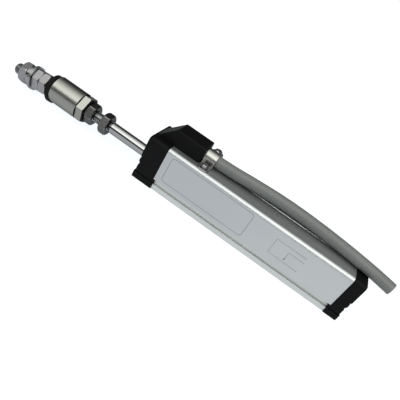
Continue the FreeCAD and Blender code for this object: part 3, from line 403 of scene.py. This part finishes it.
# %% Each CAD node gets its finish
FINISHES = {
    aluminium: ["housing_profile"],
    cap_plastic: ["front_cap", "rear_cap"],
    soft_rubber: ["front_gasket", "rear_gasket", "rod_scraper", "front_bumper", "rear_bumper", "dust_boot",
                  "cable_seal"],
    rod_steel: ["pull_rod"],
    coupling_steel: ["coupling_sleeve", "coupling_hex_end"],
    bright_plate: ["stud_inner_nut", "stud_outer_nut", "stud_washer", "stud_spring_washer", "ball_stud",
                   "strap_screws"],
    strap_plate: ["cable_strap"],
    dark_plate: ["rod_lock_nut", "coupling_lock_nut"],
    black_plate: ["front_cap_screws", "rear_cap_screws"],
    spring_plate: ["rod_clip", "wiper_contacts", "disc_springs"],
    bronze: ["rod_bush"],
    brass: ["solder_terminals"],
    seat_plastic: ["front_ball_seat", "rear_ball_seat"],
    carriage_plastic: ["carriage"],
    laminate: ["track_board"],
    track_ink: ["resistance_tracks"],
    insulation: ["lead_wires"],
    jacket: ["cable"],
}
for finish, names in FINISHES.items():
    for name in names:
        mesh = nodes[name].data
        mesh.materials.clear()
        mesh.materials.append(finish)
print("finished", sum(len(names) for names in FINISHES.values()), "nodes")

# %% [markdown]
# ## The cable
#
# A round cable is a line with thickness. The line is a NURBS spline through the route's points, which bends as
# smoothly as a real jacket, and the curve's bevel gives it a round section. It leaves the head under the strap and
# ends in a plain cut, so the curve's ends are filled.

# %% Cable along its route
CABLE_DIAMETER = 6.0 * MM
CABLE_LIFT = 0.05 * MM
CABLE_START = Vector((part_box("cable")[0].x, 0.0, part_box("housing_profile")[1].z + CABLE_DIAMETER / 2 + CABLE_LIFT))
CABLE_ROUTE = [
    (0.0, 0.0, 0.0),
    (15.0, 0.0, 0.0),
    (31.0, 1.6, 0.65),
    (47.0, 2.5, 1.1),
    (63.0, 2.2, 1.0),
    (79.0, 1.1, 0.55),
    (92.0, -0.9, 0.2),
    (100.0, -2.4, -0.1),
    (106.3, -3.7, -0.55),
]


def make_cable():
    """Lay the cable along the top of the housing."""
    curve = bpy.data.curves.new("cable_jacket", "CURVE")
    curve.dimensions = "3D"
    curve.bevel_depth = CABLE_DIAMETER / 2
    curve.bevel_resolution = 10
    curve.resolution_u = 12
    curve.use_fill_caps = True
    spline = curve.splines.new("NURBS")
    spline.points.add(len(CABLE_ROUTE) - 1)
    for point, step in zip(spline.points, CABLE_ROUTE):
        point.co = (*(CABLE_START + Vector(step) * MM), 1.0)
    spline.order_u = 3
    spline.use_endpoint_u = True
    cable = bpy.data.objects.new("cable_jacket", curve)
    bpy.context.scene.collection.objects.link(cable)
    curve.materials.append(jacket)
    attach(cable, "housing")
    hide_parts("cable")


make_cable()
print("cable laid,", len(CABLE_ROUTE), "points")

# %% [markdown]
# ## Turned pieces
#
# The rod, the stud, the screws and the tools that cut them are all turned on a lathe. In Blender the lathe is Spin:
# half a section is drawn point by point by extruding one vertex, and Spin sweeps it round the X axis. A point on
# the axis sweeps to itself, so the doubles are merged before the normals are worked out.

# %% A small lathe
MERGE_DISTANCE = 0.0005 * MM


def start_point(name, place):
    """Begin a piece as one vertex: a small plane merged at its centre."""
    clear_selection()
    bpy.ops.mesh.primitive_plane_add(size=MM)
    piece = bpy.context.object
    piece.name = piece.data.name = name
    bpy.ops.object.mode_set(mode="EDIT")
    bpy.ops.mesh.select_all(action="SELECT")
    bpy.ops.mesh.merge(type="CENTER")
    bpy.ops.transform.translate(value=place)
    return piece


def draw_section(name, outline):
    """Draw half a section from (along, radius) points in millimetres, and stay in edit mode."""
    points = [Vector((along, 0.0, radius)) * MM for along, radius in outline]
    piece = start_point(name, points[0])
    for here, there in zip(points, points[1:]):
        bpy.ops.mesh.extrude_vertices_move(TRANSFORM_OT_translate={"value": there - here})
    bpy.ops.mesh.select_all(action="SELECT")
    return piece


def close_mesh():
    """Merge doubles, turn the faces outwards and leave edit mode."""
    bpy.ops.mesh.select_all(action="SELECT")
    bpy.ops.mesh.remove_doubles(threshold=MERGE_DISTANCE)
    bpy.ops.mesh.normals_make_consistent(inside=False)
    bpy.ops.object.mode_set(mode="OBJECT")


def turned(name, outline, steps=64):
    """Spin half a section round the X axis."""
    piece = draw_section(name, outline)
    bpy.ops.mesh.spin(steps=steps, angle=2 * math.pi, center=(0, 0, 0), axis=(1, 0, 0))
    close_mesh()
    return piece


def arc(centre, radius, start, end, count):
    """Return (along, radius) points of an arc, with its angles in degrees from the X axis."""
    angles = [math.radians(start + (end - start) * step / (count - 1)) for step in range(count)]
    return [(centre + radius * math.cos(angle), radius * math.sin(angle)) for angle in angles]


def carve(piece, tool, operation):
    """Combine a piece with a tool, which is then thrown away."""
    cut = piece.modifiers.new("cut", "BOOLEAN")
    cut.operation = operation
    cut.solver = "EXACT"
    cut.object = tool
    bpy.context.view_layer.objects.active = piece
    bpy.ops.object.modifier_apply(modifier=cut.name)
    bpy.data.objects.remove(tool)


def smooth_shade(piece, degrees=35):
    """Shade smooth where a surface turns by less than an angle, and leave sharper edges crisp."""
    clear_selection()
    piece.select_set(True)
    bpy.context.view_layer.objects.active = piece
    bpy.ops.object.shade_smooth_by_angle(angle=math.radians(degrees))


def soften(piece, width):
    """Break the sharp edges, as a real tool leaves them, and shade the rest smooth."""
    bpy.context.view_layer.objects.active = piece
    bevel = piece.modifiers.new("soft_edges", "BEVEL")
    bevel.width = width * MM
    bevel.segments = 2
    bevel.limit_method = "ANGLE"
    bevel.angle_limit = math.radians(35)
    bpy.ops.object.modifier_apply(modifier=bevel.name)
    smooth_shade(piece)


def join(pieces):
    """Join pieces into the first one."""
    clear_selection()
    for piece in pieces:
        piece.select_set(True)
    bpy.context.view_layer.objects.active = pieces[0]
    bpy.ops.object.join()
    return pieces[0]


def set_down(piece, place, turn=Matrix()):
    """Put a piece in its place, with the place in its mesh."""
    piece.data.transform(Matrix.Translation(place) @ turn)


def copy_of(piece, name):
    """Copy a piece with its own mesh."""
    twin = piece.copy()
    twin.data = piece.data.copy()
    twin.name = twin.data.name = name
    bpy.context.scene.collection.objects.link(twin)
    return twin


def fit(piece, finish, body, slot, *replaced):
    """Give a piece its finish and its body, and let it stand for CAD nodes. The slot is not used."""
    piece.data.materials.clear()
    piece.data.materials.append(finish)
    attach(piece, body)
    if replaced:
        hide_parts(*replaced)
    print(piece.name, len(piece.data.polygons), "faces")


# %% [markdown]
# ## Threads
#
# The rod and the stud carry an M6 thread. One tooth is drawn as an open section, and the Screw modifier winds it
# round the axis, moving on by one pitch each turn. The wound surface has two ragged, open ends. Each is extruded
# and collapsed to a point, which closes it, and the thread is then cut to length by a turned blank with a lead-in,
# so that a nut starts on it easily.

# %% One tooth wound into a thread
THREAD_PITCH = 1.0
THREAD_CREST = 2.93
THREAD_ROOT = 2.40
THREAD_RUN_UP = 1.51
THREAD_SPARE_TURNS = 3
THREAD_LEAD_IN = 0.8
THREAD_TIP = 2.20
BLANK_RADIUS = 3.03
AXIS_HEIGHT = (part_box("pull_rod")[0].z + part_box("pull_rod")[1].z) / 2


def wound_thread(name, start, end):
    """Wind a thread along X and cut it to run from start to end, in millimetres."""
    tooth = [(0.0, THREAD_ROOT), (0.10, THREAD_ROOT), (0.46, THREAD_CREST), (0.60, THREAD_CREST), (0.96, THREAD_ROOT),
             (THREAD_PITCH, THREAD_ROOT)]
    piece = draw_section(name, tooth)
    bpy.ops.object.mode_set(mode="OBJECT")
    screw = piece.modifiers.new("wind", "SCREW")
    screw.axis = "X"
    screw.screw_offset = THREAD_PITCH * MM
    screw.iterations = math.ceil(end - start) + THREAD_SPARE_TURNS
    screw.steps = screw.render_steps = 40
    bpy.ops.object.modifier_apply(modifier=screw.name)
    piece.data.transform(Matrix.Translation(((start - THREAD_RUN_UP) * MM, 0, 0)))
    bpy.ops.object.mode_set(mode="EDIT")
    bpy.ops.mesh.select_all(action="SELECT")
    bpy.ops.mesh.remove_doubles(threshold=MERGE_DISTANCE)
    bpy.ops.mesh.select_mode(type="EDGE")
    bpy.ops.mesh.select_all(action="DESELECT")
    bpy.ops.mesh.select_non_manifold()
    bpy.ops.mesh.extrude_edges_move()
    bpy.ops.mesh.merge(type="COLLAPSE")
    bpy.ops.mesh.select_mode(type="VERT")
    close_mesh()
    blank = turned("blank", [(start, 0), (start, THREAD_TIP), (start + THREAD_LEAD_IN, BLANK_RADIUS),
                             (end, BLANK_RADIUS), (end, 0)])
    carve(piece, blank, "INTERSECT")
    smooth_shade(piece, 30)
    return piece


# %% [markdown]
# The rod is one bar: bright and smooth inside the housing, threaded outside it, with a neck near its inner end
# where the carriage's clip holds it. The smooth part is turned, the thread is wound, and the two are joined.

# %% The rod
ROD_RADIUS = 3.0
ROD_THREAD_END = -83.9
ROD_NECK_RADIUS = 2.1
ROD_NECK = (14.65, 15.65)
ROD_CHAMFER = 0.5
THREAD_OVERLAP = 0.1


def make_rod():
    """Turn the smooth rod and join its thread to it."""
    front, rear = (corner.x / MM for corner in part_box("pull_rod"))
    shaft = turned("rod_shaft", [
        (ROD_THREAD_END, 0.0),
        (ROD_THREAD_END, THREAD_ROOT),
        (ROD_THREAD_END + 0.6, ROD_RADIUS),
        (ROD_NECK[0], ROD_RADIUS),
        (ROD_NECK[0], ROD_NECK_RADIUS),
        (ROD_NECK[1], ROD_NECK_RADIUS),
        (ROD_NECK[1], ROD_RADIUS),
        (rear - ROD_CHAMFER, ROD_RADIUS),
        (rear, ROD_RADIUS - ROD_CHAMFER),
        (rear, 0.0),
    ], 96)
    soften(shaft, 0.06)
    thread = wound_thread("rod_thread", front, ROD_THREAD_END + THREAD_OVERLAP)
    rod = join([shaft, thread])
    set_down(rod, (0, 0, AXIS_HEIGHT))
    fit(rod, rod_steel, "rod", "polished_steel", "pull_rod")


make_rod()

# %% [markdown]
# ## Hexagons
#
# A nut starts as a six-sided bar, whose long edges are bevelled first, while they are still straight. What makes it
# look like a nut is the turned chamfer, which leaves a curved edge at both ends of each flat, so the bar is
# intersected with a turned blank of two cones, a flat one and a steeper one. The bore is countersunk at both ends
# with a turned tool. The nut is made once and copied to its four places.

# %% A chamfered hexagon and the nuts
BALL_CENTRE = -112.2
STUD_DROOP = 6.0
COLLAR = (-126.35, -122.05)
NUT_HEIGHT = 4.2
WASHERS_HEIGHT = 3.8
NUT_FLATS = 10.0
NUT_FACE_RADIUS = 4.85
NUT_CHAMFER = (0.29, 5.35)
NUT_SHOULDER = (1.0, NUT_FLATS / math.sqrt(3) + 0.03)
NUT_EDGE = 0.32
NUT_BORE = 2.97
NUT_MOUTH = 3.32
NUT_COUNTERSINK = 0.4
ROD_NUT_TURNS = {"rod_lock_nut": 3.0, "coupling_lock_nut": 4.0}
COLLAR_TURN = 100
END_NUT_TURN = 81


def hexagon(name, length):
    """Make a chamfered six-sided bar from X = 0, with two corners along Y."""
    clear_selection()
    bpy.ops.mesh.primitive_cylinder_add(vertices=6, radius=NUT_FLATS / math.sqrt(3) * MM, depth=length * MM,
                                        location=(length / 2 * MM, 0, 0), rotation=(0, math.pi / 2, 0))
    bar = bpy.context.object
    bar.name = bar.data.name = name
    bpy.ops.object.transform_apply(location=True, rotation=True, scale=True)
    bpy.ops.object.mode_set(mode="EDIT")
    bpy.ops.mesh.select_mode(type="EDGE")
    bpy.ops.mesh.select_all(action="DESELECT")
    bpy.ops.object.mode_set(mode="OBJECT")
    ends = [vertex.co.x for vertex in bar.data.vertices]
    for edge in bar.data.edges:
        first, second = edge.vertices
        edge.select = abs(ends[first] - ends[second]) > length / 2 * MM
    bpy.ops.object.mode_set(mode="EDIT")
    bpy.ops.mesh.bevel(offset=NUT_EDGE * MM, segments=3, affect="EDGES")
    bpy.ops.mesh.select_mode(type="VERT")
    bpy.ops.object.mode_set(mode="OBJECT")
    half = [(0, 0), (0, NUT_FACE_RADIUS), NUT_CHAMFER, NUT_SHOULDER]
    blank = turned("blank", half + [(length - along, radius) for along, radius in reversed(half)], 96)
    carve(bar, blank, "INTERSECT")
    smooth_shade(bar, 10)
    return bar


def about_axis(degrees):
    """Return a turn about the X axis."""
    return Matrix.Rotation(math.radians(degrees), 4, "X")


def droop(piece):
    """Move a piece from the X axis to the rod's height and tilt it about the ball, as the stud hangs."""
    ball = Matrix.Translation((BALL_CENTRE * MM, 0, 0))
    hang = ball @ Matrix.Rotation(-math.radians(STUD_DROOP), 4, "Y") @ ball.inverted()
    piece.data.transform(Matrix.Translation((0, 0, AXIS_HEIGHT)) @ hang)


def make_nuts():
    """Make one nut and copy it to each place."""
    nut = hexagon("nut", NUT_HEIGHT)
    half = [(-0.01, 0), (-0.01, NUT_MOUTH), (NUT_COUNTERSINK, NUT_BORE)]
    drill = turned("drill", half + [(NUT_HEIGHT - along, radius) for along, radius in reversed(half)])
    carve(nut, drill, "DIFFERENCE")
    smooth_shade(nut, 10)
    for name, turn in ROD_NUT_TURNS.items():
        copy = copy_of(nut, name + "_cut")
        set_down(copy, (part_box(name)[0].x, 0, AXIS_HEIGHT), about_axis(turn))
        fit(copy, dark_plate, "rod", "dark_steel", name)
    inner = COLLAR[0] - NUT_HEIGHT
    outer = inner - WASHERS_HEIGHT - NUT_HEIGHT
    for name, front, turn in (("stud_inner_nut", inner, COLLAR_TURN), ("stud_outer_nut", outer, END_NUT_TURN)):
        copy = copy_of(nut, name + "_cut")
        set_down(copy, (front * MM, 0, 0), about_axis(turn))
        droop(copy)
        fit(copy, bright_plate, "ball_stud", "plated_steel", name)
    bpy.data.objects.remove(nut)


make_nuts()

# %% [markdown]
# ## The ball stud
#
# The stud is ball, neck, hexagon collar and thread in one piece of steel. Ball and neck are one turned section, the
# collar is a hexagon like the nuts, and the thread is wound.

# %% Ball, neck, collar and thread
BALL_RADIUS = 4.0
NECK_RADIUS = 2.3
STUD_TIP = -142.95
STUD_OVERLAP = 0.5


def make_stud():
    """Join the ball, the collar and the thread."""
    neck_angle = 180 - math.degrees(math.asin(NECK_RADIUS / BALL_RADIUS))
    ball = turned("ball", arc(BALL_CENTRE, BALL_RADIUS, 0, neck_angle, 24) +
                  [(COLLAR[1] - STUD_OVERLAP, NECK_RADIUS), (COLLAR[1] - STUD_OVERLAP, 0)])
    soften(ball, 0.02)
    collar = hexagon("collar", COLLAR[1] - COLLAR[0])
    set_down(collar, (COLLAR[0] * MM, 0, 0), about_axis(COLLAR_TURN))
    thread = wound_thread("stud_thread", STUD_TIP, COLLAR[0] + STUD_OVERLAP)
    stud = join([ball, collar, thread])
    stud.name = stud.data.name = "ball_stud_threaded"
    droop(stud)
    fit(stud, bright_plate, "ball_stud", "plated_steel", "ball_stud")


make_stud()

# %% [markdown]
# ## Screws
#
# Two domed, blackened screws hold each cap, and two slotted ones hold the strap. All are turned, and their recesses
# are cut with a block whose deep end is drawn in, because a driver's tip tapers. A cross recess is the same block
# used twice, a quarter turn apart.

# %% Cap screws with a cross recess
CAP_SCREW_HEAD = 1.0
CAP_SCREW_RADIUS = 2.2
CROSS_REACH = 1.3
CROSS_DEPTH = 0.8
CROSS_TURNS = (20, 110)
RECESS_WIDTH = 0.62
RECESS_TAPER = (1, 0.55, 0.75)


def recess_tool(name, reach, depth):
    """Make a tapered block that cuts depth below X = 0."""
    clear_selection()
    bpy.ops.mesh.primitive_cube_add(size=1, scale=(2 * depth * MM, 2 * reach * MM, RECESS_WIDTH * MM))
    tool = bpy.context.object
    tool.name = name
    bpy.ops.object.transform_apply(location=True, rotation=True, scale=True)
    bpy.ops.object.mode_set(mode="EDIT")
    bpy.ops.mesh.select_all(action="DESELECT")
    bpy.ops.object.mode_set(mode="OBJECT")
    for vertex in tool.data.vertices:
        vertex.select = vertex.co.x < 0
    bpy.ops.object.mode_set(mode="EDIT")
    bpy.ops.transform.resize(value=RECESS_TAPER, center_override=(0, 0, 0))
    bpy.ops.object.mode_set(mode="OBJECT")
    return tool


def cap_screw(length):
    """Turn a domed screw along X with its head's seat at X = 0, and cut the cross."""
    screw = turned("cap_screw", [
        (-length, 0), (-length, 0.9), (0.5 - length, 1.2), (0, 1.2), (0, 2.08), (0.12, CAP_SCREW_RADIUS),
        (0.36, CAP_SCREW_RADIUS), (0.58, 2.12), (0.76, 1.92), (0.88, 1.60), (0.96, 1.15), (CAP_SCREW_HEAD, 0.6),
        (CAP_SCREW_HEAD, 0)])
    for turn in CROSS_TURNS:
        tool = recess_tool("cross_arm", CROSS_REACH, CROSS_DEPTH)
        set_down(tool, (CAP_SCREW_HEAD * MM, 0, 0), about_axis(turn))
        carve(screw, tool, "DIFFERENCE")
    soften(screw, 0.05)
    return screw


def make_cap_screws():
    """Set two screws in each cap."""
    for name, turn in (("front_cap_screws", 180), ("rear_cap_screws", 0)):
        low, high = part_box(name)
        first = cap_screw((high.x - low.x) / MM - CAP_SCREW_HEAD)
        second = copy_of(first, "second")
        seat = low.x + CAP_SCREW_HEAD * MM if turn else high.x - CAP_SCREW_HEAD * MM
        height = (low.z + high.z) / 2
        side = high.y - CAP_SCREW_RADIUS * MM
        for screw, y in ((first, -side), (second, side)):
            set_down(screw, (seat, y, height), Matrix.Rotation(math.radians(turn), 4, "Z"))
        pair = join([first, second])
        pair.name = pair.data.name = name + "_cut"
        fit(pair, black_plate, "housing", "black_steel", name)


make_cap_screws()

# %% [markdown]
# The strap's screws stand upright. They are turned along X like the others and then tipped up, and each slot is one
# block that reaches right across the head.

# %% Strap screws with a slot
STRAP_SCREW_HEAD = 1.5
STRAP_SCREW_RADIUS = 1.9
STRAP_SCREW_LENGTH = 2.5
STRAP_SCREW_TURNS = (80, 35)
SLOT_REACH = 4.0
SLOT_DEPTH = 0.75


def make_strap_screws():
    """Tip up two slotted screws where the strap has its ears."""
    low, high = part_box("strap_screws")
    x = (low.x + high.x) / 2
    radius = STRAP_SCREW_RADIUS * MM
    places = ((low.y + radius, low.z + STRAP_SCREW_LENGTH * MM), (high.y - radius, high.z - STRAP_SCREW_HEAD * MM))
    screws = []
    for (y, seat), turn in zip(places, STRAP_SCREW_TURNS):
        screw = turned("strap_screw", [
            (-STRAP_SCREW_LENGTH, 0), (-STRAP_SCREW_LENGTH, 0.7), (-2.2, 0.95), (0, 0.95), (0, 1.82),
            (0.08, STRAP_SCREW_RADIUS), (0.85, STRAP_SCREW_RADIUS), (1.12, 1.82), (1.32, 1.62), (1.44, 1.35),
            (STRAP_SCREW_HEAD, 1.0), (STRAP_SCREW_HEAD, 0)])
        tool = recess_tool("slot", SLOT_REACH, SLOT_DEPTH)
        set_down(tool, (STRAP_SCREW_HEAD * MM, 0, 0), about_axis(turn))
        carve(screw, tool, "DIFFERENCE")
        soften(screw, 0.05)
        set_down(screw, (x, y, seat), Matrix.Rotation(-math.pi / 2, 4, "Y"))
        screws.append(screw)
    pair = join(screws)
    pair.name = pair.data.name = "strap_screws_cut"
    fit(pair, bright_plate, "housing", "plated_steel", "strap_screws")


make_strap_screws()

# %% [markdown]
# ## Marks on the side
#
# A fine frame and the plain circuit symbol of a potentiometer are etched into the anodised side. Each line is a
# curve with a thin round bevel. It is made a mesh, pressed almost flat and laid on the face, so the marks are real
# geometry and sharp at any distance.

# %% Frame and circuit symbol
MARK_WIDTH = 0.24
MARK_PROUD = 0.012
FRAME_X = (-46.6, -1.4)
FRAME_Z = (7.5, 21.0)
FRAME_CORNER = 1.6
SYMBOL_X = (12.9, 28.7)
SYMBOL_Z = (9.4, 17.8)
RESISTOR_X = (17.4, 23.5)
ZIGZAG_STEPS = 12
ZIGZAG_HEIGHT = 0.55
TAP_HEIGHT = 15.2
TAP_X = 20.8
ARROW_TIP = 0.9
ARROW_BACK = 2.1
ARROW_SPREADS = (0.45, 0.25)


def stroke(points, closed=False):
    """Return a mesh object that follows (x, z) points in millimetres."""
    curve = bpy.data.curves.new("stroke", "CURVE")
    curve.dimensions = "3D"
    curve.bevel_depth = MARK_WIDTH / 2 * MM
    curve.bevel_resolution = 1
    curve.use_fill_caps = True
    spline = curve.splines.new("POLY")
    spline.points.add(len(points) - 1)
    for point, (x, z) in zip(spline.points, points):
        point.co = (x * MM, 0, z * MM, 1)
    spline.use_cyclic_u = closed
    line = bpy.data.objects.new("stroke", curve)
    bpy.context.scene.collection.objects.link(line)
    clear_selection()
    line.select_set(True)
    bpy.context.view_layer.objects.active = line
    bpy.ops.object.convert(target="MESH")
    bpy.ops.object.mode_set(mode="EDIT")
    close_mesh()
    return bpy.context.object


def rounded_frame():
    """Return the points of a rectangle with rounded corners."""
    points = []
    for x, z, start in ((FRAME_X[1], FRAME_Z[1], 0), (FRAME_X[0], FRAME_Z[1], 90),
                        (FRAME_X[0], FRAME_Z[0], 180), (FRAME_X[1], FRAME_Z[0], 270)):
        middle_x = x - FRAME_CORNER * (1 if x == FRAME_X[1] else -1)
        middle_z = z - FRAME_CORNER * (1 if z == FRAME_Z[1] else -1)
        for step in range(7):
            angle = math.radians(start + 15 * step)
            points.append((middle_x + FRAME_CORNER * math.cos(angle), middle_z + FRAME_CORNER * math.sin(angle)))
    return points


def make_marks():
    """Draw all the marks and lay them on the marked side."""
    left, right = SYMBOL_X
    base, top = SYMBOL_Z
    begin, end = RESISTOR_X
    zigzag = [(begin + (end - begin) * step / ZIGZAG_STEPS, base + (ZIGZAG_HEIGHT if step % 2 else -ZIGZAG_HEIGHT))
              for step in range(1, ZIGZAG_STEPS)]
    circuit = [(right, top), (left, top), (left, base), (begin, base), *zigzag, (end, base), (right, base)]
    tap = [(right, TAP_HEIGHT), (TAP_X, TAP_HEIGHT), (TAP_X, base + 1.1)]
    lines = [stroke(rounded_frame(), closed=True), stroke(circuit), stroke(tap)]
    for spread in ARROW_SPREADS:
        lines.append(stroke([(TAP_X - spread, base + ARROW_BACK), (TAP_X, base + ARROW_TIP),
                             (TAP_X + spread, base + ARROW_BACK)], closed=True))
    marks = join(lines)
    marks.name = marks.data.name = "side_marks"
    press = Matrix.Scale(2 * MARK_PROUD / MARK_WIDTH, 4, (0, 1, 0))
    set_down(marks, (0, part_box("housing_profile")[0].y, 0), press)
    fit(marks, mark_ink, "housing", "anodised_aluminium")


make_marks()
